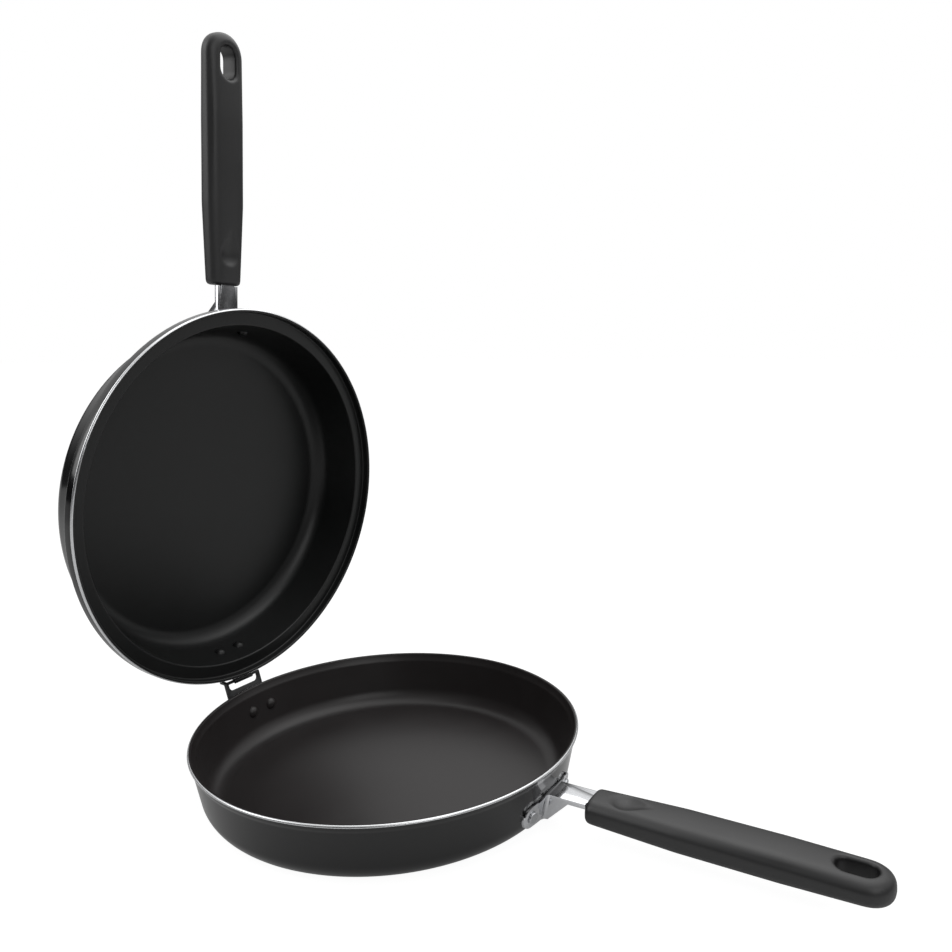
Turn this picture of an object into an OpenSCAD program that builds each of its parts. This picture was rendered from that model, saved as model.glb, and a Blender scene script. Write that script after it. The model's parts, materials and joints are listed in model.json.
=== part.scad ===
// Double sided flip pan: two shallow round frying pans, hinged opposite their handles, which close rim to rim.
// Drawn open: the lower pan lies on its base, centred on the Z axis, with its handle towards +X, and the
// upper pan stands on the hinge at -X, resting on its stop. Millimetres, +Z up.
// Each pan is drawn lying on its base in its own frame, and only the upper one is then turned over.

/* [Pans] */
// Outside diameter of the lower pan's rim
rim_d = 240; // [200:1:280]
// Height of each pan, base to rim
pan_h = 38; // [36:0.5:48]
// Thickness of the pressed sheet
wall_t = 2.4; // [1.8:0.1:3]
// Outward lean of the wall, in degrees
wall_lean = 11; // [6:0.5:14]
// Outside radius between base and wall
corner_r = 15; // [11:0.5:16]
// Height of the flared lip on the lower pan
lip_h = 5; // [4:0.5:7]
// Reach of the lip beyond the wall
lip_flare = 2; // [1:0.1:2.6]
// Number of turned rings on each base
ring_count = 4; // [2:1:6]
// Distance from one turned ring to the next
ring_pitch = 16; // [10:0.5:18]
// Depth of a turned ring
ring_depth = 0.4; // [0.2:0.1:0.8]

/* [Collar] */
// Room between the lower rim and the upper pan's collar
collar_gap = 4.6; // [4:0.1:6]
// How far the shut collar reaches below the lower rim
collar_depth = 5; // [3.5:0.5:5.5]
// Gap between the lower rim and the ledge above it when shut
ledge_gap = 0.4; // [0.3:0.1:1]
// Rounding on the outer edge of the ledge
ledge_round = 2; // [1:0.1:2.3]

/* [Hinge] */
// Thickness of the two hinge plates
hinge_t = 1.2; // [1:0.1:1.8]
// Radius of the bar that the hook turns on
bar_r = 1.1; // [0.9:0.05:1.6]
// Radial clearance between bar and hook
bar_fit = 0.08; // [0.05:0.01:0.1]
// Free space between the shut collar and the curl of the hook
curl_clear = 2.65; // [1.2:0.05:4]
// Height of the bar above the lower rim
bar_rise = 3; // [2.5:0.5:4.5]
// Angle between the shut and the open upper pan, in degrees
open_angle = 86; // [80:1:89]
// Width of the hinge plates
hinge_w = 31; // [27:0.5:36]
// Width of the obround slot
slot_w = 25; // [21:0.5:25.5]
// Reach of the slot below the middle of the bar
slot_h = 5.6; // [4.5:0.1:7.5]
// Width of the curl of the hook
curl_w = 16; // [10:0.5:17]
// Angle over which the hook curls round the bar, in degrees
curl_angle = 120; // [90:5:180]
// Reach of the stop ears behind the bar
ear_reach = 5; // [4.2:0.1:6]
// Gap between the stop ears and the open hook
stop_gap = 0.3; // [0.3:0.05:0.5]
// Height of the flanges that are riveted to the walls
flange_h = 9.5; // [9:0.5:11]

/* [Rivets] */
// Radius of the rivet shanks
rivet_r = 2.2; // [1.6:0.1:2.4]
// Radius of the hinge rivets' domed heads inside the pans
hinge_dome_r = 3.9; // [3:0.1:4.4]
// Radius of the bracket rivets' domed heads inside the pans
bracket_dome_r = 3.6; // [3:0.1:3.6]
// Height of the domed heads
dome_h = 2.4; // [1.2:0.1:2.6]
// Radius of the flattened heads outside
head_r = 3.4; // [3:0.1:3.8]
// Height of the flattened heads
head_h = 1.4; // [1:0.1:2]
// Distance between the two hinge rivets
hinge_rivet_pitch = 16.6; // [13:0.1:18]
// Distance of the hinge rivets from the rim
hinge_rivet_drop = 16; // [15.5:0.1:17]
// Distance between the two bracket rivets
bracket_rivet_pitch = 40; // [36:0.5:46]
// Distance of the bracket rivets from the rim
bracket_rivet_drop = 23.4; // [21:0.1:23.6]

/* [Handle bracket] */
// Thickness of the pressed bracket
bracket_t = 1.6; // [1.2:0.1:2]
// Width of the neck
neck_w = 16.5; // [13:0.5:18]
// Distance of the neck's top from the rim
neck_drop = 15; // [14.5:0.1:16]
// Depth of the neck's turned-down sides
neck_side_h = 2.8; // [2.2:0.1:6]
// Length over which the sides taper from the wings' depth to the neck's
gusset_l = 12.8; // [9:0.1:14]
// Length of the neck between rim and grip
neck_l = 21.2; // [19:0.1:30]
// Radius of the round feet of the wings
foot_r = 6.8; // [5.5:0.1:7]
// Depth of the waist in the wings' upper edge
waist_depth = 1.2; // [0.6:0.1:2]
// Outside bend radius between neck and wings
bend_r = 3.4; // [2.8:0.1:4]
// Length of the tang inside the grip
tang_l = 45; // [36:1:60]
// Width of the tang
tang_w = 11; // [9:0.5:11.5]

/* [Grip] */
// Length of the grip
grip_l = 157; // [130:1:175]
// Width of the grip from its middle to its tip
grip_w = 28; // [26:0.5:32]
// Width of the grip at the neck
grip_neck_w = 24; // [20:0.5:25]
// Thickness of the grip at its middle
grip_t = 16.5; // [16:0.1:18.5]
// Thickness of the grip at both ends
grip_end_t = 14.5; // [14:0.1:15.5]
// Rounding along the grip's edges
grip_round = 6; // [4.5:0.1:6.8]
// Distance of the grip's middle from the rim
grip_drop = 19.3; // [19.1:0.1:19.5]
// Length of the hanging hole
hole_l = 20; // [14:0.5:26]
// Width of the hanging hole
hole_w = 12; // [9:0.5:14]
// Solid wall between hanging hole and tip
hole_wall = 8; // [6:0.5:12]
// Chamfer round the hanging hole
hole_chamfer = 1.2; // [0.6:0.1:1.6]
// Distance of the thumb hollow from the neck end
hollow_start = 11; // [9:0.5:14]
// Length of the thumb hollow
hollow_l = 28; // [24:0.5:36]
// Width of the thumb hollow at its round end
hollow_w = 18; // [14:0.5:19]
// Depth of the thumb hollow
hollow_depth = 2.7; // [1.4:0.1:2.9]

/* [Grip screw] */
// Radius of the screw
screw_r = 2; // [1.5:0.1:2.4]
// Radius of the screw head
screw_head_r = 3.8; // [3:0.1:4.2]
// Height of the screw head
screw_head_h = 2.4; // [1.8:0.1:3]
// Depth of the screw head below the grip's surface
screw_sink = 1.6; // [0.8:0.1:2.4]
// Distance of the screw from the grip's neck end
screw_x = 20; // [14:0.5:30]

/* [Hidden] */
$fn = 96;
blend_fn = 32;
// running and seating clearances
seat = 0.1;
tang_fit = 0.15;
screw_fit = 0.12;
over = 1;
// how far the lower hinge plate dips outside and below the shut collar
dip_out = 0.9;
dip_drop = 3;
// plain length of the hook's arm past the ears, and its full width past the curl
arm_spare = 0.5;
wide_spare = 0.3;
// gap between the neck's turned-down sides and the grip
grip_gap = 0.3;
// gap between the wall and the bend of a flange
flange_gap = 0.4;
// how much of a web's or sheet's width its ear or bend takes up
inner_share = 0.8;
waist_r = 9;
flange_angle = 40;
// pan section: the wall line, the corner circle and the points where they meet
rim_r = rim_d / 2;
lip_z = pan_h - lip_h;
wall_top_r = rim_r - lip_flare;
function wall_r(z) = wall_top_r - (lip_z - z) * tan(wall_lean);
corner_x = wall_r(corner_r) - corner_r / cos(wall_lean);
function corner_meet(r) = [corner_x + r * cos(wall_lean), corner_r - r * sin(wall_lean)];
wall_run = wall_t / cos(wall_lean);
// collar and ledge of the upper pan
collar_in_r = rim_r + collar_gap;
collar_out_r = collar_in_r + wall_t;
ledge_z = pan_h - ledge_gap;
ledge_under_z = ledge_z - wall_t;
collar_top_z = pan_h + collar_depth;
// hinge: the bar's place from the pan axis and in each pan's own height
curl_r = bar_r + bar_fit + hinge_t;
arm_offset = bar_r + bar_fit + hinge_t / 2;
pivot_r = collar_out_r + curl_clear + curl_r;
lower_pivot_z = pan_h + bar_rise;
upper_pivot_z = pan_h - bar_rise;
// lower plate: it dips under the shut collar, then rises to the bar
dip_r = collar_out_r + hinge_t / 2 + dip_out;
dip_z = pan_h - collar_depth - dip_drop;
flange_z = pan_h - hinge_rivet_drop;
plate_rise = [pivot_r - dip_r, lower_pivot_z - dip_z];
plate_angle = atan2(plate_rise.y, plate_rise.x);
// upper plate: the arm runs straight past the stop ears, then turns in to the wall
arm_r = pivot_r - arm_offset;
arm_end_z = upper_pivot_z - ear_reach - arm_spare;
wide_start = curl_r + wide_spare;
web_w = (hinge_w - slot_w) / 2;
ear_w = inner_share * web_w;
ear_h = bar_r + bar_fit - stop_gap;
flange_r = flange_gap + hinge_t / 2;
// bracket
neck_z = pan_h - neck_drop;
foot_z = pan_h - bracket_rivet_drop;
foot_y = bracket_rivet_pitch / 2;
wing_angle = 2 * asin((foot_y + foot_r + over) / wall_top_r);
neck_end_x = rim_r + neck_l - grip_gap;
wing_low_z = foot_z - foot_r;
gusset_x = wall_r(wing_low_z) + bend_r + over;
bend_overlap = inner_share * bracket_t;
// grip
grip_x = rim_r + neck_l;
grip_z = pan_h - grip_drop;
tang_end_x = grip_x + tang_l;
hole_r = hole_w / 2;
hole_far_x = grip_l - hole_wall - hole_r;
hole_near_x = hole_far_x - hole_l + hole_w;
// the thumb hollow is a ball sunk by its depth and drawn out to a point
hollow_ball_r = (pow(hollow_w / 2, 2) + pow(hollow_depth, 2)) / (2 * hollow_depth);
hollow_ball_x = hollow_start + hollow_w / 2;
hollow_point_x = hollow_start + hollow_l;
screw_end_z = neck_z - seat;
screw_head_z = grip_z - grip_end_t / 2 + screw_sink;

// ---- placing ----

// turns a piece that is drawn at the handle side to the hinge side
module at_hinge() {
    rotate([0, 0, 180])
        children();
}

// upper pan: turned over on to the lower one, then swung open about the bar
module upper_place() {
    translate([-pivot_r, 0, lower_pivot_z])
        rotate([0, -open_angle, 0])
            translate([pivot_r, 0, -lower_pivot_z])
                translate([0, 0, 2 * pan_h])
                    rotate([180, 0, 0])
                        children();
}

// local +X is the wall's outward normal at azimuth az and height z
module on_wall(az, z) {
    rotate([0, 0, az])
        translate([wall_r(z), 0, z])
            rotate([0, wall_lean, 0])
                children();
}

// a section drawn in X and Z, drawn out to the width w across the X axis
module across(w) {
    rotate([90, 0, 0])
        linear_extrude(height = w, center = true)
            children();
}

// ---- shared shapes ----

// bent sheet in section: a straight run between each two points, round bends, and flat ends
module bent_sheet(points, t) {
    for (i = [0 : len(points) - 2]) {
        run = points[i + 1] - points[i];
        translate(points[i])
            rotate(atan2(run.y, run.x))
                translate([0, -t / 2])
                    square([norm(run), t]);
    }
    for (i = [1 : len(points) - 2])
        translate(points[i])
            circle(d = t);
}

// everything inside the middle of a sheet of thickness t that hugs the wall
module wall_envelope(t) {
    grow = (seat + t / 2) / cos(wall_lean);
    rotate_extrude()
        polygon([
            [0, 0],
            [wall_r(0) + grow, 0],
            [wall_r(pan_h) + grow, pan_h],
            [0, pan_h]
        ]);
}

// sheet that hugs the wall between two heights
module wall_sheet(z_low, z_high, t, angle) {
    in = seat / cos(wall_lean);
    out = (seat + t) / cos(wall_lean);
    rotate([0, 0, -angle / 2])
        rotate_extrude(angle = angle)
            polygon([
                [wall_r(z_low) + in, z_low],
                [wall_r(z_low) + out, z_low],
                [wall_r(z_high) + out, z_high],
                [wall_r(z_high) + in, z_high]
            ]);
}

// hole through wall and sheet for a rivet
module rivet_hole(az, z) {
    on_wall(az, z)
        rotate([0, 90, 0])
            cylinder(r = rivet_r + seat, h = 6 * wall_t, center = true);
}

// rivet with its dome inside the pan and a flattened head on a sheet of thickness t
module rivet(az, z, t, dome_r) {
    clamped = wall_t + t + 3 * seat;
    ball_r = (pow(dome_r, 2) + pow(dome_h, 2)) / (2 * dome_h);
    edge = head_h / 2;
    on_wall(az, z)
        translate([-wall_t - seat, 0, 0])
            rotate([0, 90, 0])
                rotate_extrude($fn = 48) {
                    square([rivet_r, clamped + head_h]);
                    intersection() {
                        translate([0, ball_r - dome_h])
                            circle(r = ball_r);
                        translate([0, -dome_h])
                            square([dome_r, dome_h]);
                    }
                    translate([0, clamped]) {
                        square([head_r - edge, head_h]);
                        square([head_r, edge]);
                        translate([head_r - edge, edge])
                            circle(r = edge);
                    }
                }
}

// ---- pans ----

// half section of a pan's sheet up to the height top, with its outer face at the wall line
module bowl_section(top) {
    difference() {
        union() {
            polygon([
                [0, 0], [corner_x, 0], corner_meet(corner_r), [wall_r(top), top], [0, top]
            ]);
            translate([corner_x, corner_r])
                circle(r = corner_r);
        }
        polygon([
            [-over, wall_t], [corner_x, wall_t], corner_meet(corner_r - wall_t),
            [wall_r(top + over) - wall_run, top + over], [-over, top + over]
        ]);
        translate([corner_x, corner_r])
            circle(r = corner_r - wall_t);
        for (i = [1 : ring_count])
            translate([corner_x - i * ring_pitch, 0])
                circle(r = ring_depth, $fn = 24);
        translate([-rim_r, -over])
            square([rim_r, pan_h + 2 * over]);
    }
}

// holes for the two hinge rivets and the two bracket rivets
module pan_rivet_holes() {
    for (side = [-1, 1]) {
        at_hinge()
            rivet_hole(side * hinge_rivet_az(), flange_z);
        rivet_hole(side * bracket_rivet_az(), foot_z);
    }
}

function hinge_rivet_az() = asin(hinge_rivet_pitch / 2 / wall_r(flange_z));
function bracket_rivet_az() = asin(foot_y / wall_r(foot_z));

// the wall ends in a flared lip with a round edge
module lower_pan_body() {
    lip_top = pan_h - wall_t / 2;
    difference() {
        rotate_extrude() {
            bowl_section(lip_z);
            polygon([
                [wall_top_r - wall_run, lip_z], [wall_top_r, lip_z],
                [rim_r, lip_top], [rim_r - wall_t, lip_top]
            ]);
            translate([rim_r - wall_t / 2, lip_top])
                circle(d = wall_t, $fn = 32);
        }
        pan_rivet_holes();
    }
}

// the wall turns out into a ledge, and the ledge up into the collar
module upper_pan_body() {
    collar_end = collar_top_z - wall_t / 2;
    difference() {
        rotate_extrude() {
            bowl_section(ledge_under_z);
            translate([wall_r(ledge_under_z) - wall_run, ledge_under_z])
                square([collar_out_r - ledge_round - wall_r(ledge_under_z) + wall_run, wall_t]);
            translate([collar_out_r - ledge_round, ledge_under_z + ledge_round])
                intersection() {
                    circle(r = ledge_round);
                    translate([0, -ledge_round])
                        square(ledge_round);
                }
            translate([collar_in_r, ledge_under_z + ledge_round])
                square([wall_t, collar_end - ledge_under_z - ledge_round]);
            translate([collar_in_r + wall_t / 2, collar_end])
                circle(d = wall_t, $fn = 32);
        }
        pan_rivet_holes();
    }
}

// ---- hinge ----

// riveted flange that both hinge plates share, with its holes
module hinge_flange() {
    half = flange_h / 2;
    difference() {
        intersection() {
            wall_sheet(flange_z - half, flange_z + half, hinge_t, flange_angle);
            translate([0, -hinge_w / 2, 0])
                cube([2 * rim_r, hinge_w, pan_h]);
        }
        for (side = [-1, 1])
            rivet_hole(side * hinge_rivet_az(), flange_z);
    }
}

// plate that dips under the collar and carries the bar across its slot
module hinge_plate() {
    foot_top = flange_z + flange_h / 2 - flange_r;
    hinge_flange();
    difference() {
        across(hinge_w)
            bent_sheet([
                [wall_r(foot_top) - over, foot_top],
                [dip_r, dip_z],
                [pivot_r, lower_pivot_z] + bar_r / 2 * [cos(plate_angle), sin(plate_angle)]
            ], hinge_t);
        wall_envelope(hinge_t);
        translate([pivot_r, 0, lower_pivot_z])
            rotate([0, -plate_angle, 0])
                slot_cut();
    }
    translate([pivot_r, 0, lower_pivot_z])
        rotate([90, 0, 0])
            cylinder(r = bar_r, h = slot_w + web_w, center = true, $fn = 48);
    for (side = [-1, 1])
        translate([pivot_r, side * (slot_w + web_w) / 2, lower_pivot_z])
            across(ear_w)
                stop_ear();
}

// obround slot, open at the bar: local +X runs up the plate to the bar
module slot_cut() {
    end_r = slot_h / 2;
    linear_extrude(height = 4 * hinge_t, center = true) {
        translate([-end_r, 0]) {
            square([slot_h, slot_w - slot_h], center = true);
            for (side = [-1, 1])
                translate([0, side * (slot_w / 2 - end_r)])
                    circle(r = end_r, $fn = 48);
        }
        translate([-end_r, -slot_w / 2])
            square([slot_h, slot_w]);
    }
}

// ear behind the bar; its top lies parallel to the open hook
module stop_ear() {
    rotate(90 - open_angle)
        translate([0, -hinge_t / 2])
            square([ear_reach, ear_h + hinge_t / 2]);
}

// hook: curl round the bar, straight arm, and a crank in to the riveted flange
module hinge_hook() {
    flange_foot = flange_z + flange_h / 2 - flange_r;
    difference() {
        union() {
            across(hinge_w)
                bent_sheet([
                    [wall_r(flange_foot) - over, flange_foot],
                    [arm_r - over, arm_end_z],
                    [arm_r, arm_end_z + over],
                    [arm_r, upper_pivot_z - wide_start]
                ], hinge_t);
            across(curl_w) {
                translate([arm_r - hinge_t / 2, upper_pivot_z - wide_start - over])
                    square([hinge_t, wide_start + over]);
                translate([pivot_r, upper_pivot_z])
                    curl_section();
            }
        }
        wall_envelope(hinge_t);
    }
    hinge_flange();
}

// curl of the hook in section: from the arm's side round the far side of the bar
module curl_section() {
    steps = 4;
    intersection() {
        difference() {
            circle(r = curl_r, $fn = 48);
            circle(r = bar_r + bar_fit, $fn = 48);
        }
        polygon(concat([[0, 0]], [
            for (i = [0 : steps])
                let(turn = 180 - i * curl_angle / steps)
                    2 * curl_r * [cos(turn), sin(turn)]
        ]));
    }
}

// ---- handle ----

// front view of the wings: straight beside the neck, waisted, and round at the feet
module wing_outline() {
    foot_top = foot_z + foot_r;
    waist_y = (neck_w / 2 + foot_y) / 2;
    difference() {
        union() {
            for (side = [-1, 1])
                translate([side * foot_y, foot_z])
                    circle(r = foot_r, $fn = 64);
            polygon([
                [-foot_y, foot_z - foot_r], [foot_y, foot_z - foot_r],
                [foot_y, foot_top], [neck_w / 2, neck_z],
                [-neck_w / 2, neck_z], [-foot_y, foot_top]
            ]);
        }
        for (side = [-1, 1])
            translate([side * waist_y, (foot_top + neck_z) / 2 + waist_r - waist_depth])
                circle(r = waist_r, $fn = 64);
    }
}

// one turned-down side of the neck, tapered from the wing's depth to the neck's
module neck_side() {
    start = wall_r(wing_low_z) - over;
    across(bracket_t)
        polygon([
            [start, wing_low_z], [gusset_x, wing_low_z],
            [gusset_x + gusset_l, neck_z - neck_side_h], [neck_end_x, neck_z - neck_side_h],
            [neck_end_x, neck_z], [start, neck_z]
        ]);
}

// round bend from a turned-down side into its wing, leaning with the wall
module wing_bend(side) {
    web = bend_r - bracket_t;
    intersection() {
        on_wall(0, foot_z)
            translate([seat + bracket_t + web, side * (neck_w / 2 + web), 0])
                difference() {
                    cylinder(r = web + bend_overlap, h = 2 * pan_h, center = true, $fn = 64);
                    cylinder(r = web, h = 4 * pan_h, center = true, $fn = 64);
                    translate([0, side * bend_r, 0])
                        cube([3 * bend_r, 2 * bend_r, 2 * pan_h + over], center = true);
                    translate([bend_r, 0, 0])
                        cube([2 * bend_r, 3 * bend_r, 2 * pan_h + over], center = true);
                }
        translate([0, -neck_w, wing_low_z])
            cube([2 * rim_r, 2 * neck_w, neck_z - wing_low_z]);
    }
}

// neck, tang, wings and the round bends between them
module bracket() {
    side_y = (neck_w - bracket_t) / 2;
    difference() {
        union() {
            translate([wall_r(neck_z) - over, -neck_w / 2, neck_z - bracket_t])
                cube([neck_end_x - wall_r(neck_z) + over, neck_w, bracket_t]);
            translate([neck_end_x - over, -tang_w / 2, neck_z - bracket_t])
                cube([tang_end_x - neck_end_x + over, tang_w, bracket_t]);
            for (side = [-1, 1])
                translate([0, side * side_y, 0])
                    neck_side();
            for (side = [-1, 1])
                wing_bend(side);
        }
        wall_envelope(bracket_t);
        translate([grip_x + screw_x, 0, neck_z - bracket_t / 2])
            cylinder(r = screw_r + seat, h = 2 * bracket_t, center = true, $fn = 48);
    }
    difference() {
        intersection() {
            wall_sheet(wing_low_z, neck_z, bracket_t, wing_angle);
            rotate([90, 0, 90])
                linear_extrude(height = 2 * rim_r)
                    wing_outline();
        }
        translate([0, bracket_t / 2 - side_y, wing_low_z - over])
            cube([2 * rim_r, 2 * side_y - bracket_t, neck_z - bracket_t - wing_low_z + over]);
        for (side = [-1, 1])
            rivet_hole(side * bracket_rivet_az(), foot_z);
    }
}

// disc with a full round edge, for the grip's tip
module round_disc(r, t) {
    for (side = [-1, 1])
        translate([0, 0, side * (t / 2 - grip_round)])
            rotate_extrude($fn = blend_fn)
                translate([r - grip_round, 0])
                    circle(r = grip_round, $fn = blend_fn);
}

// the four long edges of the grip from x on, as rods of length l
module edge_rods(x, w, t, l) {
    for (y = [-1, 1], z = [-1, 1])
        translate([x, y * (w / 2 - grip_round), z * (t / 2 - grip_round)])
            rotate([0, 90, 0])
                cylinder(r = grip_round, h = l, $fn = blend_fn);
}

// the four corners of the neck end
module edge_noses(w, t) {
    nose_r = grip_round / 2;
    for (y = [-1, 1], z = [-1, 1])
        translate([nose_r, y * (w / 2 - grip_round), z * (t / 2 - grip_round)])
            rotate([0, 90, 0])
                rotate_extrude($fn = blend_fn)
                    translate([grip_round - nose_r, 0])
                        circle(r = nose_r, $fn = blend_fn / 2);
}

// grip drawn from its neck end, along +X and level
module grip_blank() {
    hull() {
        edge_noses(grip_neck_w, grip_end_t);
        edge_rods(grip_l / 3, grip_w, grip_t, grip_l / 3);
        translate([grip_l - grip_w / 2, 0, 0])
            round_disc(grip_w / 2, grip_end_t);
    }
}

// hanging hole with a chamfer at both faces
module hanging_hole() {
    run = hole_far_x - hole_near_x;
    flare_z = grip_end_t / 2 - hole_chamfer;
    flare_h = 2 * hole_chamfer;
    for (x = [hole_near_x, hole_far_x])
        translate([x, 0, 0]) {
            cylinder(r = hole_r, h = 2 * grip_t, center = true, $fn = 64);
            for (side = [0, 180])
                rotate([side, 0, 0])
                    translate([0, 0, flare_z])
                        cylinder(r1 = hole_r, r2 = hole_r + flare_h, h = flare_h, $fn = 64);
        }
    translate([hole_near_x, 0, 0])
        rotate([90, 0, 90])
            linear_extrude(height = run) {
                square([hole_w, 2 * grip_t], center = true);
                for (side = [-1, 1])
                    polygon([
                        [-hole_r, side * flare_z], [hole_r, side * flare_z],
                        [hole_r + flare_h, side * (flare_z + flare_h)],
                        [-hole_r - flare_h, side * (flare_z + flare_h)]
                    ]);
            }
}

// teardrop hollow for the thumb: a sunken ball and the cone that touches it, its point towards the tip
module thumb_hollow() {
    ball_lift = hollow_ball_r - hollow_depth;
    reach = hollow_point_x - hollow_ball_x;
    apart = norm([reach, ball_lift]);
    spread = asin(hollow_ball_r / apart);
    touch = sqrt(pow(apart, 2) - pow(hollow_ball_r, 2));
    translate([hollow_ball_x, 0, grip_t / 2 + ball_lift])
        sphere(r = hollow_ball_r);
    translate([hollow_point_x, 0, grip_t / 2])
        rotate([0, -atan2(reach, ball_lift), 0])
            cylinder(r1 = 0, r2 = touch * sin(spread), h = touch * cos(spread));
}

// grip with hanging hole, thumb hollow, pocket for the tang and bore for the screw
module grip() {
    pocket = tang_l + tang_fit + over;
    translate([grip_x, 0, grip_z])
        difference() {
            grip_blank();
            hanging_hole();
            thumb_hollow();
            translate([-over, -tang_w / 2 - tang_fit, neck_z - grip_z - bracket_t - tang_fit])
                cube([pocket, tang_w + 2 * tang_fit, bracket_t + 2 * tang_fit]);
            translate([screw_x, 0, -grip_t]) {
                cylinder(r = screw_r + screw_fit, h = grip_t + neck_z - grip_z, $fn = 48);
                cylinder(
                    r = screw_head_r + screw_fit,
                    h = grip_t + screw_head_z + screw_head_h + seat - grip_z,
                    $fn = 48
                );
            }
        }
}

// pan-head screw from below, with a cross recess
module grip_screw() {
    recess_w = screw_head_r / 4;
    translate([grip_x + screw_x, 0, screw_head_z])
        difference() {
            union() {
                cylinder(r = screw_head_r, h = screw_head_h, $fn = 48);
                cylinder(r = screw_r, h = screw_end_z - screw_head_z, $fn = 48);
            }
            for (turn = [0, 90])
                rotate([0, 0, turn])
                    cube([screw_head_r, recess_w, screw_head_h], center = true);
        }
}

// ---- nodes ----

module lower_pan() {
    color("#2b2b2d")
        lower_pan_body();
}

module lower_hinge_plate() {
    color("#1f1f20")
        at_hinge()
            hinge_plate();
}

module lower_hinge_rivet_front() {
    color("#242424")
        at_hinge()
            rivet(hinge_rivet_az(), flange_z, hinge_t, hinge_dome_r);
}

module lower_hinge_rivet_rear() {
    color("#242424")
        at_hinge()
            rivet(-hinge_rivet_az(), flange_z, hinge_t, hinge_dome_r);
}

module lower_bracket() {
    color("#c9ccd0")
        bracket();
}

module lower_bracket_rivet_front() {
    color("#b4b6b8")
        rivet(-bracket_rivet_az(), foot_z, bracket_t, bracket_dome_r);
}

module lower_bracket_rivet_rear() {
    color("#b4b6b8")
        rivet(bracket_rivet_az(), foot_z, bracket_t, bracket_dome_r);
}

module lower_grip() {
    color("#262627")
        grip();
}

module lower_grip_screw() {
    color("#9a9c9e")
        grip_screw();
}

module upper_pan() {
    color("#2b2b2d")
        upper_place()
            upper_pan_body();
}

module upper_hinge_hook() {
    color("#1f1f20")
        upper_place()
            at_hinge()
                hinge_hook();
}

// front and rear swap, because the upper pan is turned over
module upper_hinge_rivet_front() {
    color("#242424")
        upper_place()
            at_hinge()
                rivet(-hinge_rivet_az(), flange_z, hinge_t, hinge_dome_r);
}

module upper_hinge_rivet_rear() {
    color("#242424")
        upper_place()
            at_hinge()
                rivet(hinge_rivet_az(), flange_z, hinge_t, hinge_dome_r);
}

module upper_bracket() {
    color("#c9ccd0")
        upper_place()
            bracket();
}

module upper_bracket_rivet_front() {
    color("#b4b6b8")
        upper_place()
            rivet(bracket_rivet_az(), foot_z, bracket_t, bracket_dome_r);
}

module upper_bracket_rivet_rear() {
    color("#b4b6b8")
        upper_place()
            rivet(-bracket_rivet_az(), foot_z, bracket_t, bracket_dome_r);
}

module upper_grip() {
    color("#262627")
        upper_place()
            grip();
}

module upper_grip_screw() {
    color("#9a9c9e")
        upper_place()
            grip_screw();
}

lower_pan();
lower_hinge_plate();
lower_hinge_rivet_front();
lower_hinge_rivet_rear();
lower_bracket();
lower_bracket_rivet_front();
lower_bracket_rivet_rear();
lower_grip();
lower_grip_screw();
upper_pan();
upper_hinge_hook();
upper_hinge_rivet_front();
upper_hinge_rivet_rear();
upper_bracket();
upper_bracket_rivet_front();
upper_bracket_rivet_rear();
upper_grip();
upper_grip_screw();
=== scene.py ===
import json
import math

import bpy
from mathutils import Matrix, Vector


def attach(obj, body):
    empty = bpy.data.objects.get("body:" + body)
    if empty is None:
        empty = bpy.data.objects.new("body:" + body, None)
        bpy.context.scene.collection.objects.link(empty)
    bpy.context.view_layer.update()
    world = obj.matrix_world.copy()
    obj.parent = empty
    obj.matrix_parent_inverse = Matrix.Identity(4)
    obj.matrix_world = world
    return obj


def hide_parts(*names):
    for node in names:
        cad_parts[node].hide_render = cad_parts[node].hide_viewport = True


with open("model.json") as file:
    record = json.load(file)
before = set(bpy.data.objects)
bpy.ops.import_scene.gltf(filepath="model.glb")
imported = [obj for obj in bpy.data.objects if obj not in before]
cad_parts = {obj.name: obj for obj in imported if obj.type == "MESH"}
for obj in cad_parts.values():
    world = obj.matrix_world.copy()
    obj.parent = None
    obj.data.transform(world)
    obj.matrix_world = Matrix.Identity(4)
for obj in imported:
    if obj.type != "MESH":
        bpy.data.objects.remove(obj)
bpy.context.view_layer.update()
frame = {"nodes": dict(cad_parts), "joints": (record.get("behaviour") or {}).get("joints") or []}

print("frame loaded")

# ---- small helpers ----


def mm(value):
    return value / 1000


def deselectAll():
    if bpy.context.object and bpy.context.object.mode != "OBJECT":
        bpy.ops.object.mode_set(mode="OBJECT")
    bpy.ops.object.select_all(action="DESELECT")


def makeActive(piece):
    deselectAll()
    piece.select_set(True)
    bpy.context.view_layer.objects.active = piece


def linearColour(hexText):
    # sRGB hex to the linear values that Blender's sockets take
    parts = [int(hexText[i:i + 2], 16) / 255 for i in (1, 3, 5)]
    return [v / 12.92 if v <= 0.04045 else ((v + 0.055) / 1.055) ** 2.4 for v in parts] + [1]


def addNode(tree, kind, values=None, links=None, **settings):
    node = tree.nodes.new(kind)
    for key, value in settings.items():
        setattr(node, key, value)
    for socket, value in (values or {}).items():
        node.inputs[socket].default_value = value
    for socket, source in (links or {}).items():
        tree.links.new(source, node.inputs[socket])
    return node


def newMaterial(name):
    material = bpy.data.materials.new(name)
    material.use_nodes = True
    material.node_tree.nodes.clear()
    return material, material.node_tree


# ---- where things are ----

fold = frame["joints"][0]
pivot = Vector(fold["pos_m"])
openAngle = math.radians(fold["range_deg"][1])

# the pan's section, in mm and degrees, as in the part's source
pan = {
    "rimR": 120,
    "height": 38,
    "wallT": 2.4,
    "wallLean": 11,
    "cornerR": 15,
    "lipH": 5,
    "lipFlare": 2,
    "lipRound": 5,
    "ringCount": 4,
    "ringPitch": 16,
    "ringDepth": 0.4,
    "collarGap": 4.6,
    "collarDepth": 5,
    "collarInRound": 0.8,
    "ledgeGap": 0.4,
    "ledgeInRound": 1.2,
    "ledgeOutRound": 2,
    "ledgeUnderRound": 0.6,
}

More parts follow.
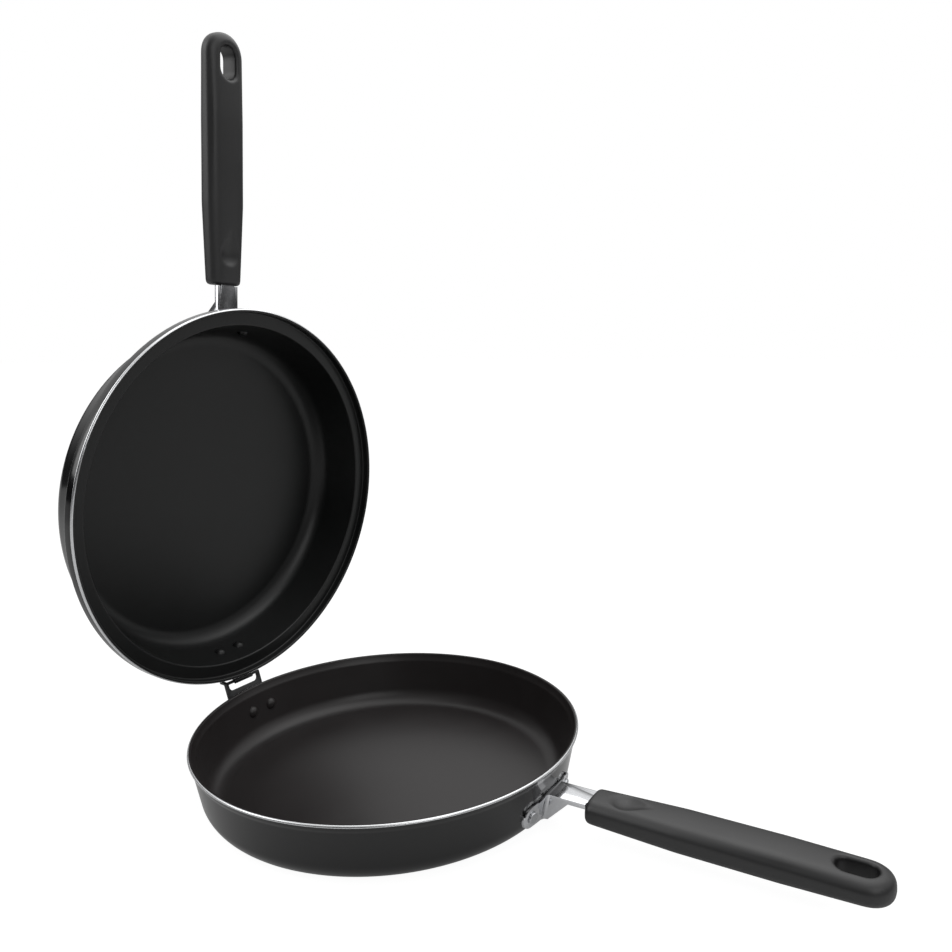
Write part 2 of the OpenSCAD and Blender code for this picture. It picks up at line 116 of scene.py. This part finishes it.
# how finely its arcs are stepped, and how it is spun
panSteps = {
    "corner": 14,
    "ring": 6,
    "edge": 12,
    "lip": 6,
    "ledgeIn": 6,
    "ledgeOut": 8,
    "ledgeUnder": 4,
    "collarIn": 5,
    "spin": 360,
    "mergeWithin": 0.004,
}

# the upper pan is drawn lying down like the lower one, turned over and swung open about the bar
upperPlace = (
    Matrix.Translation(pivot)
    @ Matrix.Rotation(-openAngle, 4, "Y")
    @ Matrix.Translation(-pivot)
    @ Matrix.Translation((0, 0, mm(2 * pan["height"])))
    @ Matrix.Rotation(math.pi, 4, "X")
)


def placePiece(piece, place):
    makeActive(piece)
    piece.matrix_world = place @ piece.matrix_world
    bpy.ops.object.transform_apply(location=True, rotation=True, scale=True)
    return piece


# ---- camera ----

# fitted to the rims, hinge and grips in the photograph: degrees, mm from the lower rim's centre,
# and pixels of the photograph
camera = {
    "azimuth": 29.0,
    "elevation": 7.836,
    "roll": -0.365,
    "distance": 532.42,
    "right": 88.154,
    "up": 162.226,
    "focalPx": 835.8256,
    "centrePx": (526.35, 464.47),
    "imagePx": 952,
    "sensor": 36,
    "clipStart": 10,
}


def makeCamera():
    a = math.radians(camera["azimuth"])
    e = math.radians(camera["elevation"])
    roll = math.radians(camera["roll"])
    back = Vector((math.sin(a) * math.cos(e), -math.cos(a) * math.cos(e), math.sin(e)))
    right = Vector((math.cos(a), math.sin(a), 0))
    up = back.cross(right)
    place = right * camera["right"] + up * camera["up"] + back * camera["distance"]
    place.z += pan["height"]
    turnedRight = right * math.cos(roll) + up * math.sin(roll)
    turnedUp = up * math.cos(roll) - right * math.sin(roll)
    data = bpy.data.cameras.new("camera")
    data.sensor_width = camera["sensor"]
    data.lens = camera["focalPx"] * camera["sensor"] / camera["imagePx"]
    half = camera["imagePx"] / 2
    data.shift_x = -(camera["centrePx"][0] - half) / camera["imagePx"]
    data.shift_y = (camera["centrePx"][1] - half) / camera["imagePx"]
    data.clip_start = mm(camera["clipStart"])
    seen = bpy.data.objects.new("camera", data)
    turn = Matrix((turnedRight, turnedUp, back)).transposed().to_4x4()
    seen.matrix_world = Matrix.Translation(place * mm(1)) @ turn
    bpy.context.scene.collection.objects.link(seen)
    bpy.context.scene.camera = seen


makeCamera()
print("camera placed")

# ---- materials ----


def bumpFrom(tree, height, distance, strength):
    return addNode(
        tree, "ShaderNodeBump",
        {"Strength": strength, "Distance": distance},
        {"Height": height},
    ).outputs["Normal"]


def ownCoordinates(tree, place):
    # Object coordinates, turned back into the pan's own lying frame
    source = addNode(tree, "ShaderNodeTexCoord").outputs["Object"]
    return addNode(
        tree, "ShaderNodeMapping",
        {"Location": place.to_translation(), "Rotation": place.to_euler()},
        {"Vector": source},
        vector_type="TEXTURE",
    ).outputs["Vector"]


def radiusOf(tree, vector):
    flat = addNode(
        tree, "ShaderNodeVectorMath", {1: (1, 1, 0)}, {0: vector}, operation="MULTIPLY"
    ).outputs["Vector"]
    return addNode(
        tree, "ShaderNodeVectorMath", None, {0: flat}, operation="LENGTH"
    ).outputs["Value"]


def finishMaterial(tree, values, links):
    shader = addNode(tree, "ShaderNodeBsdfPrincipled", values, links)
    addNode(tree, "ShaderNodeOutputMaterial", None, {"Surface": shader.outputs["BSDF"]})


def mixRange(tree, factor, low, high):
    return addNode(
        tree, "ShaderNodeMapRange", {"To Min": low, "To Max": high}, {"Value": factor}
    ).outputs["Result"]


def mixColours(tree, factor, first, second):
    return addNode(
        tree, "ShaderNodeMix",
        {"A": linearColour(first), "B": linearColour(second)},
        {"Factor": factor},
        data_type="RGBA",
    ).outputs[2]


def noise(tree, vector, sizeMm, detail):
    return addNode(
        tree, "ShaderNodeTexNoise",
        {"Scale": 1 / mm(sizeMm), "Detail": detail},
        {"Vector": vector},
    ).outputs["Fac"]


def variedFinish(name, look):
    # a cloud shifts the colour and the roughness, and a grain of its own dents the surface
    material, tree = newMaterial(name)
    place = addNode(tree, "ShaderNodeTexCoord").outputs["Object"]
    cloud = noise(tree, place, *look["cloud"])
    grain = noise(tree, place, *look["grain"])
    depth, strength = look["bump"]
    finishMaterial(tree, look["base"], {
        "Base Color": mixColours(tree, cloud, *look["colours"]),
        "Roughness": mixRange(tree, cloud, *look["roughness"]),
        "Normal": bumpFrom(tree, grain, mm(depth), strength),
    })
    return material


# in each finish, cloud and grain are a size in mm and a level of detail, and bump is a depth in
# mm and a strength


def nonStickCoat(name, dark, light):
    # sprayed non-stick coat: charcoal, half matt, with a grain that breaks up every highlight
    return variedFinish(name, {
        "cloud": (30, 3),
        "grain": (0.9, 2),  # the coat's orange peel is about 0.5 mm, drawn coarser so that it shows
        "bump": (0.03, 0.5),
        "colours": (dark, light),
        "roughness": (0.33, 0.41),
        "base": {"IOR": 1.42},
    })


def glossEnamel(name):
    # fired black enamel: deep and wet-looking, with a slow waviness in what it mirrors
    return variedFinish(name, {
        "cloud": (40, 2),
        "grain": (5, 1),
        "bump": (0.02, 0.3),
        "colours": ("#050506", "#09090a"),
        "roughness": (0.09, 0.14),
        "base": {"IOR": 1.5},
    })


def chromedSteel(name):
    # chrome over pressed steel: mirror bright and faintly hazed, with the dents of the press
    return variedFinish(name, {
        "cloud": (1.2, 3),
        "grain": (5, 2),
        "bump": (0.06, 0.5),
        "colours": ("#cfd0d3", "#e2e3e5"),
        "roughness": (0.09, 0.2),
        "base": {"Metallic": 1},
    })


def rivetAluminium(name):
    # cold-headed aluminium: satin, with the mottle that the snap tool leaves
    mottle = (0.8, 3)
    return variedFinish(name, {
        "cloud": mottle,
        "grain": mottle,
        "bump": (0.04, 0.5),
        "colours": ("#a9abae", "#cfd0d2"),
        "roughness": (0.24, 0.4),
        "base": {"Metallic": 1},
    })


def mouldedPhenolic(name):
    # compression-moulded phenolic resin: near black, satin, with a very fine eroded grain
    return variedFinish(name, {
        "cloud": (25, 3),
        "grain": (0.7, 3),  # the mould's grain is about 0.15 mm, drawn coarser so that it shows
        "bump": (0.02, 0.5),
        "colours": ("#101011", "#161617"),
        "roughness": (0.4, 0.48),
        "base": {"IOR": 1.6},
    })


def blackenedSteel(name):
    # steel strip in baked black paint: half gloss, slightly uneven
    return variedFinish(name, {
        "cloud": (6, 3),
        "grain": (0.8, 2),
        "bump": (0.03, 0.4),
        "colours": ("#151516", "#1f1f20"),
        "roughness": (0.28, 0.4),
        "base": {"IOR": 1.5},
    })


def zincPlate(name):
    # bright zinc on a steel screw: cool grey, a little cloudy
    mottle = (1.5, 3)
    return variedFinish(name, {
        "cloud": mottle,
        "grain": mottle,
        "bump": (0.02, 0.4),
        "colours": ("#9fa3a8", "#bfc2c5"),
        "roughness": (0.25, 0.4),
        "base": {"Metallic": 1},
    })


turned = {
    "marks": 0.4,  # a lathe's marks are about 0.1 mm apart, drawn coarser so that they show
    "detail": 3,
    "bump": (0.004, 0.2),
    "colours": ("#c9cacc", "#e4e5e6"),
    "roughness": (0.22, 0.32),
    "base": {"Metallic": 1, "Anisotropic": 0.3},
}


def turnedAluminium(name, place):
    # bare aluminium skimmed on a lathe: bright, with fine tool marks round the axis
    material, tree = newMaterial(name)
    radius = radiusOf(tree, ownCoordinates(tree, place))
    marks = addNode(
        tree, "ShaderNodeTexNoise",
        {"Scale": 1 / mm(turned["marks"]), "Detail": turned["detail"]},
        {"W": radius},
        noise_dimensions="1D",
    ).outputs["Fac"]
    depth, strength = turned["bump"]
    finishMaterial(tree, turned["base"], {
        "Base Color": mixColours(tree, marks, *turned["colours"]),
        "Roughness": mixRange(tree, marks, *turned["roughness"]),
        "Normal": bumpFrom(tree, marks, mm(depth), strength),
    })
    return material


print("materials ready")

# ---- pans ----

seat = Matrix.Identity(4)  # the lower pan stays where it is drawn


def arcPoints(centre, radius, start, end, count):
    steps = [math.radians(start + (end - start) * i / count) for i in range(count + 1)]
    return [(centre[0] + radius * math.cos(s), centre[1] + radius * math.sin(s)) for s in steps]


def wallR(z):
    top = pan["rimR"] - pan["lipFlare"]
    return top - (pan["height"] - pan["lipH"] - z) * math.tan(math.radians(pan["wallLean"]))


wallRun = pan["wallT"] / math.cos(math.radians(pan["wallLean"]))
cornerX = wallR(pan["cornerR"]) - pan["cornerR"] / math.cos(math.radians(pan["wallLean"]))
corner = (cornerX, pan["cornerR"])


def bowlInside():
    inR = pan["cornerR"] - pan["wallT"]
    middle = (0, pan["wallT"])
    return [middle] + arcPoints(corner, inR, -90, -pan["wallLean"], panSteps["corner"])


def bowlOutside():
    section = arcPoints(corner, pan["cornerR"], -pan["wallLean"], -90, panSteps["corner"])
    for ring in range(1, pan["ringCount"] + 1):
        ringAt = (cornerX - ring * pan["ringPitch"], 0)
        section += arcPoints(ringAt, pan["ringDepth"], 0, 180, panSteps["ring"])
    return section + [(0, 0)]


def edgeArc(innerX, z):
    # the sheet's edge, rounded over its full thickness
    half = pan["wallT"] / 2
    return arcPoints((innerX + half, z), half, 180, 0, panSteps["edge"])


def roundedCorner(before, bend, after, radius, count):
    # arc that replaces the corner between two straight runs
    c = Vector(bend)
    first = (Vector(before) - c).normalized()
    second = (Vector(after) - c).normalized()
    half = first.angle(second) / 2
    reach = radius / math.tan(half)
    start, end = c + first * reach, c + second * reach
    middle = c + (first + second).normalized() * (radius / math.sin(half))
    a = start - middle
    turn = a.angle_signed(end - middle)
    points = []
    for i in range(count + 1):
        s = -turn * i / count
        points.append((
            middle.x + a.x * math.cos(s) - a.y * math.sin(s),
            middle.y + a.x * math.sin(s) + a.y * math.cos(s),
        ))
    return points


def lowerSection():
    lipZ = pan["height"] - pan["lipH"]
    lipTop = pan["height"] - pan["wallT"] / 2
    inner = wallR(lipZ) - wallRun
    edge = pan["rimR"] - pan["wallT"]
    lip = (pan["lipRound"], panSteps["lip"])
    section = bowlInside()
    section += roundedCorner(section[-1], (inner, lipZ), (edge, lipTop), *lip)
    section += edgeArc(edge, lipTop)
    outside = bowlOutside()
    section += roundedCorner((pan["rimR"], lipTop), (wallR(lipZ), lipZ), outside[0], *lip)
    return section + outside


def upperSection():
    ledgeZ = pan["height"] - pan["ledgeGap"]
    underZ = ledgeZ - pan["wallT"]
    collarIn = pan["rimR"] + pan["collarGap"]
    collarOut = collarIn + pan["wallT"]
    endZ = pan["height"] + pan["collarDepth"] - pan["wallT"] / 2
    ledgeIn = wallR(underZ) - wallRun
    foot, bend, end = (ledgeIn, ledgeZ), (collarIn, ledgeZ), (collarIn, endZ)
    section = bowlInside()
    section += roundedCorner(section[-1], foot, bend, pan["ledgeInRound"], panSteps["ledgeIn"])
    section += roundedCorner(foot, bend, end, pan["collarInRound"], panSteps["collarIn"])
    section += edgeArc(collarIn, endZ)
    outR = pan["ledgeOutRound"]
    section += arcPoints((collarOut - outR, underZ + outR), outR, 0, -90, panSteps["ledgeOut"])
    under = (wallR(underZ), underZ)
    outside = bowlOutside()
    section += roundedCorner(
        section[-1], under, outside[0], pan["ledgeUnderRound"], panSteps["ledgeUnder"]
    )
    return section + outside


def latheSection(name, section):
    # one vertex of a plane, extruded point by point along the section and spun about Z
    deselectAll()
    bpy.ops.mesh.primitive_plane_add(size=mm(1), location=(0, 0, 0))
    piece = bpy.context.object
    piece.name = name
    bpy.ops.object.mode_set(mode="EDIT")
    bpy.ops.mesh.select_mode(type="VERT")
    bpy.ops.mesh.merge(type="CENTER")
    here = Vector((0, 0, 0))
    for index, point in enumerate(section):
        there = Vector((mm(point[0]), 0, mm(point[1])))
        move = there - here
        if index:
            bpy.ops.mesh.extrude_region_move(TRANSFORM_OT_translate={"value": move})
        else:
            bpy.ops.transform.translate(value=move)
        here = there
    bpy.ops.mesh.select_all(action="SELECT")
    bpy.ops.mesh.spin(
        steps=panSteps["spin"], angle=2 * math.pi, center=(0, 0, 0), axis=(0, 0, 1)
    )
    bpy.ops.mesh.select_all(action="SELECT")
    bpy.ops.mesh.remove_doubles(threshold=mm(panSteps["mergeWithin"]))
    bpy.ops.mesh.normals_make_consistent(inside=False)
    bpy.ops.object.mode_set(mode="OBJECT")
    return piece


# where each finish ends, in mm, and the parts of a face's normal that tell its side
panFinish = {
    "slots": {"coat": 0, "enamel": 1, "bare": 2},
    "baseHeight": 0.6,
    "baseInset": 2,
    "flatBase": 0.45,
    "notUpward": 0.2,
    "outward": 0.25,
    "downward": -0.1,
    "lowerBand": 2.1,
    "upperBand": 1.3,
    "smoothUnder": 38,
}


def finishPan(piece, materials, bandLow):
    # faces take their finish from where they lie: coat inside, enamel outside, bare band and base
    slots = panFinish["slots"]
    baseR = mm(cornerX - panFinish["baseInset"])
    for material in materials:
        piece.data.materials.append(material)
    for face in piece.data.polygons:
        x, y, z = face.center
        radius = math.hypot(x, y)
        outward = (face.normal.x * x + face.normal.y * y) / radius > panFinish["outward"]
        low = face.normal.z < panFinish["notUpward"] or z < mm(panFinish["flatBase"])
        inBase = low and z < mm(panFinish["baseHeight"]) and radius < baseR
        if inBase or outward and z > mm(bandLow):
            face.material_index = slots["bare"]
        elif outward or face.normal.z < panFinish["downward"]:
            face.material_index = slots["enamel"]
        else:
            face.material_index = slots["coat"]
    makeActive(piece)
    bpy.ops.object.shade_smooth_by_angle(angle=math.radians(panFinish["smoothUnder"]))


# one non-stick coat in two copies: the upper pan's is drawn darker as painted shade, since its
# inside faces away from the lamps, and the lower pan's is drawn browner and paler as the lit copy
litAndShadedCoats = {
    "lower": nonStickCoat("non-stick coat lower, lit copy", "#211e1e", "#292626"),
    "upper": nonStickCoat("non-stick coat upper, painted shade", "#0d0e0e", "#121313"),
}
blackOutside = glossEnamel("gloss black enamel")
lowerBandLow = pan["height"] - panFinish["lowerBand"]
upperBandLow = pan["height"] + pan["collarDepth"] - panFinish["upperBand"]

for half, section, place, bandLow in (
    ("lower", lowerSection(), seat, lowerBandLow),
    ("upper", upperSection(), upperPlace, upperBandLow),
):
    piece = latheSection(half + "PanPressing", section)
    bare = turnedAluminium("turned aluminium " + half, place)
    finishPan(piece, [litAndShadedCoats[half], blackOutside, bare], bandLow)
    placePiece(piece, place)
    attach(piece, half)
    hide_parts(half + "_pan")
print("pans spun")

# ---- the pieces that follow their solids ----


edges = {
    "mergeWithin": 0.002,
    "flatWithin": 1,
    "bevelOver": 40,
    "bevelSteps": 2,
    "smoothUnder": 30,
}


def smoothCopy(node, name, material, bevel):
    # a solid's own shape, merged, with the small pressed or moulded radius on its edges
    deselectAll()
    source = frame["nodes"][node]
    piece = source.copy()
    piece.data = source.data.copy()
    piece.name = name
    piece.parent = None
    for key in list(piece.keys()):
        del piece[key]
    bpy.context.scene.collection.objects.link(piece)
    piece.matrix_world = Matrix.Identity(4)
    piece.data.materials.clear()
    piece.data.materials.append(material)
    makeActive(piece)
    bpy.ops.object.mode_set(mode="EDIT")
    bpy.ops.mesh.select_all(action="SELECT")
    bpy.ops.mesh.remove_doubles(threshold=mm(edges["mergeWithin"]))
    bpy.ops.mesh.dissolve_limited(angle_limit=math.radians(edges["flatWithin"]))
    bpy.ops.object.mode_set(mode="OBJECT")
    if bevel:
        soften = piece.modifiers.new("soften", "BEVEL")
        soften.width = mm(bevel)
        soften.segments = edges["bevelSteps"]
        soften.limit_method = "ANGLE"
        soften.angle_limit = math.radians(edges["bevelOver"])
        bpy.ops.object.modifier_apply(modifier="soften")
    bpy.ops.object.shade_smooth_by_angle(angle=math.radians(edges["smoothUnder"]))
    return piece


grip = {
    "middleZ": 18.7,
    "width": 28,
    "start": 141.2,
    "crown": 0.2,
    "evenMesh": 0.6,
    "relaxSteps": 18,
    "relaxShare": 0.5,
    "hollowAt": 20.5,
    "hollowLong": 11,
    "hollowWide": 8,
    "hollowExtra": 0.7,
    "hollowOver": 4.6,  # only what lies higher than this above the middle is pressed in
}


def mouldGrip(piece, place):
    # meshed evenly and relaxed, so that every edge takes the soft radius of a moulding, then
    # crowned across its width, and the thumb hollow pressed a little deeper
    piece.data.transform(place.inverted())
    even = piece.modifiers.new("even", "REMESH")
    even.mode = "VOXEL"
    even.voxel_size = mm(grip["evenMesh"])
    bpy.ops.object.modifier_apply(modifier="even")
    relax = piece.modifiers.new("relax", "SMOOTH")
    relax.factor = grip["relaxShare"]
    relax.iterations = grip["relaxSteps"]
    bpy.ops.object.modifier_apply(modifier="relax")
    middle = mm(grip["middleZ"])
    for vertex in piece.data.vertices:
        across = vertex.co.y / mm(grip["width"] / 2)
        height = vertex.co.z - middle
        along = vertex.co.x - mm(grip["start"] + grip["hollowAt"])
        lengthwise = (along / mm(grip["hollowLong"])) ** 2
        crosswise = (vertex.co.y / mm(grip["hollowWide"])) ** 2
        near = 1 - lengthwise - crosswise
        if near > 0 and height > mm(grip["hollowOver"]):
            height -= mm(grip["hollowExtra"]) * near
        vertex.co.z = middle + height * (1 - grip["crown"] * min(1, across * across))
    piece.data.transform(place)
    bpy.ops.object.shade_smooth()


coatReach = 0.2  # how far the coat goes into the wall, in mm


def coatDome(piece, place, material):
    # the head inside the pan is coated together with the pan
    piece.data.materials.append(material)
    back = place.inverted()
    for face in piece.data.polygons:
        x, y, z = back @ face.center
        if math.hypot(x, y) < mm(wallR(z / mm(1)) - wallRun + coatReach):
            face.material_index = 1


def dressPiece(half, part, name, material, bevel):
    node = half + "_" + part
    # a piece without a finish of its own takes its pan's coat, which in the upper pan is darkened
    # as painted shade
    piece = smoothCopy(node, half + name, material or litAndShadedCoats[half], bevel)
    place = upperPlace if half == "upper" else seat
    if part == "grip":
        mouldGrip(piece, place)
    if part.startswith("bracket_rivet"):
        coatDome(piece, place, litAndShadedCoats[half])
    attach(piece, half)
    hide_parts(node)


hingeBlack = blackenedSteel("black painted steel")
chrome = chromedSteel("chromed steel")
rivetMetal = rivetAluminium("headed aluminium")
phenolic = mouldedPhenolic("moulded phenolic")
screwZinc = zincPlate("zinc plate")

# of each piece: its name, its finish, which is the pan's own coat where none is given, and the
# radius on its edges in mm
hingeParts = {
    "lower": ("hinge_plate", "HingePlate", hingeBlack, 0.15),
    "upper": ("hinge_hook", "HingeHook", hingeBlack, 0.15),
}
partsOfBoth = (
    ("hinge_rivet_front", "HingeRivetFront", None, 0),
    ("hinge_rivet_rear", "HingeRivetRear", None, 0),
    ("bracket", "HandleBracket", chrome, 0.2),
    ("bracket_rivet_front", "BracketRivetFront", rivetMetal, 0),
    ("bracket_rivet_rear", "BracketRivetRear", rivetMetal, 0),
    ("grip", "GripMoulding", phenolic, 0),
    ("grip_screw", "GripScrew", screwZinc, 0),
)

for half, hingePart in hingeParts.items():
    for part in (hingePart, *partsOfBoth):
        dressPiece(half, *part)
print("hinge, brackets, rivets and grips finished")

# ---- floor, world and lamps ----

stage = {
    "floorSize": 40,
    "floorGrey": "#d2d2d2",
    "floorWhite": 1.34,
    "floorShadow": 0.3,
    "glossShare": 0.1,
    "backgroundStrength": 1,
    "fill": 0.46,
    "lowGrey": 0.04,
    "lowRamp": (0.08, 0.5),  # from this height of the sky to this one the light rises to white
    "frontGrey": 0.12,
    "frontRamp": (0.15, 0.8),  # and from here to here it falls towards the front
}

# place, point aimed at and size in m, and power in W
lamps = {
    "softboxLeft": ((-0.9, -0.9, 0.9), (0, 0, 0.1), (0.6, 1.1), 4),
    "softboxRight": ((1.2, -0.8, 1.0), (0, 0, 0.1), (0.9, 0.9), 4.5),
    "softboxNeck": ((0.77, 0.8, 0.24), (-0.125, 0, 0.303), (0.22, 0.22), 0.17),
    "softboxTop": ((0.1, 0.5, 1.4), (0, 0, 0.1), (1.6, 1.3), 8),
}


def makeFloor():
    # paper that the camera sees as white, apart from the share of it that keeps the shadow
    deselectAll()
    bpy.ops.mesh.primitive_plane_add(size=stage["floorSize"], location=(0, 0, 0))
    floor = bpy.context.object
    floor.name = "paleFloor"
    material, tree = newMaterial("pale paper floor")
    path = addNode(tree, "ShaderNodeLightPath")
    paper = addNode(tree, "ShaderNodeBsdfDiffuse", {"Color": linearColour(stage["floorGrey"])})
    white = addNode(
        tree, "ShaderNodeEmission", {"Color": (1, 1, 1, 1), "Strength": stage["floorWhite"]}
    )
    seen = addNode(
        tree, "ShaderNodeMath", {1: 1 - stage["floorShadow"]},
        {0: path.outputs["Is Camera Ray"]}, operation="MULTIPLY",
    )
    mirrored = addNode(
        tree, "ShaderNodeMath", {1: stage["glossShare"]},
        {0: path.outputs["Is Glossy Ray"]}, operation="MULTIPLY",
    )
    amount = addNode(
        tree, "ShaderNodeMath", None, {0: seen.outputs[0], 1: mirrored.outputs[0]}, operation="ADD"
    )
    both = addNode(
        tree, "ShaderNodeMixShader", None,
        {0: amount.outputs[0], 1: paper.outputs[0], 2: white.outputs[0]},
    )
    addNode(tree, "ShaderNodeOutputMaterial", None, {"Surface": both.outputs[0]})
    floor.data.materials.append(material)


def rampOf(tree, value, ramp, low, high):
    return addNode(
        tree, "ShaderNodeMapRange",
        {"From Min": ramp[0], "From Max": ramp[1], "To Min": low, "To Max": high},
        {"Value": value},
        interpolation_type="SMOOTHSTEP",
    ).outputs["Result"]


def makeWorld():
    # white for the camera; the object itself stands under a broad white ceiling, whose light fades
    # towards the horizon and towards the dark side of the room, in front
    world = bpy.data.worlds.new("studio")
    bpy.context.scene.world = world
    world.use_nodes = True
    tree = world.node_tree
    tree.nodes.clear()
    path = addNode(tree, "ShaderNodeLightPath")
    sky = addNode(tree, "ShaderNodeTexCoord").outputs["Generated"]
    parts = addNode(tree, "ShaderNodeSeparateXYZ", None, {"Vector": sky})
    height = rampOf(tree, parts.outputs["Z"], stage["lowRamp"], stage["lowGrey"], 1)
    turn = math.radians(camera["azimuth"])
    front = addNode(
        tree, "ShaderNodeVectorMath", {1: (math.sin(turn), -math.cos(turn), 0)},
        {0: sky}, operation="DOT_PRODUCT",
    ).outputs["Value"]
    side = rampOf(tree, front, stage["frontRamp"], 1, stage["frontGrey"])
    mirrored = addNode(
        tree, "ShaderNodeMath", None, {0: height, 1: side}, operation="MULTIPLY"
    ).outputs[0]
    room = addNode(
        tree, "ShaderNodeMix", {"A": stage["fill"]},
        {"Factor": path.outputs["Is Glossy Ray"], "B": mirrored}, data_type="FLOAT",
    ).outputs[0]
    soft = addNode(tree, "ShaderNodeBackground", {"Color": (1, 1, 1, 1)}, {"Strength": room})
    white = addNode(
        tree, "ShaderNodeBackground",
        {"Color": (1, 1, 1, 1), "Strength": stage["backgroundStrength"]},
    )
    both = addNode(
        tree, "ShaderNodeMixShader", None,
        {0: path.outputs["Is Camera Ray"], 1: soft.outputs[0], 2: white.outputs[0]},
    )
    addNode(tree, "ShaderNodeOutputWorld", None, {"Surface": both.outputs[0]})


def addLamp(name, place, target, size, power):
    data = bpy.data.lights.new(name, "AREA")
    data.shape = "RECTANGLE"
    data.size, data.size_y = size
    data.energy = power
    lamp = bpy.data.objects.new(name, data)
    lamp.location = place
    lamp.rotation_euler = (Vector(target) - Vector(place)).to_track_quat("-Z", "Y").to_euler()
    bpy.context.scene.collection.objects.link(lamp)


makeFloor()
makeWorld()
for name, lamp in lamps.items():
    addLamp(name, *lamp)
bpy.context.scene.view_settings.view_transform = "Standard"
print("stage set")
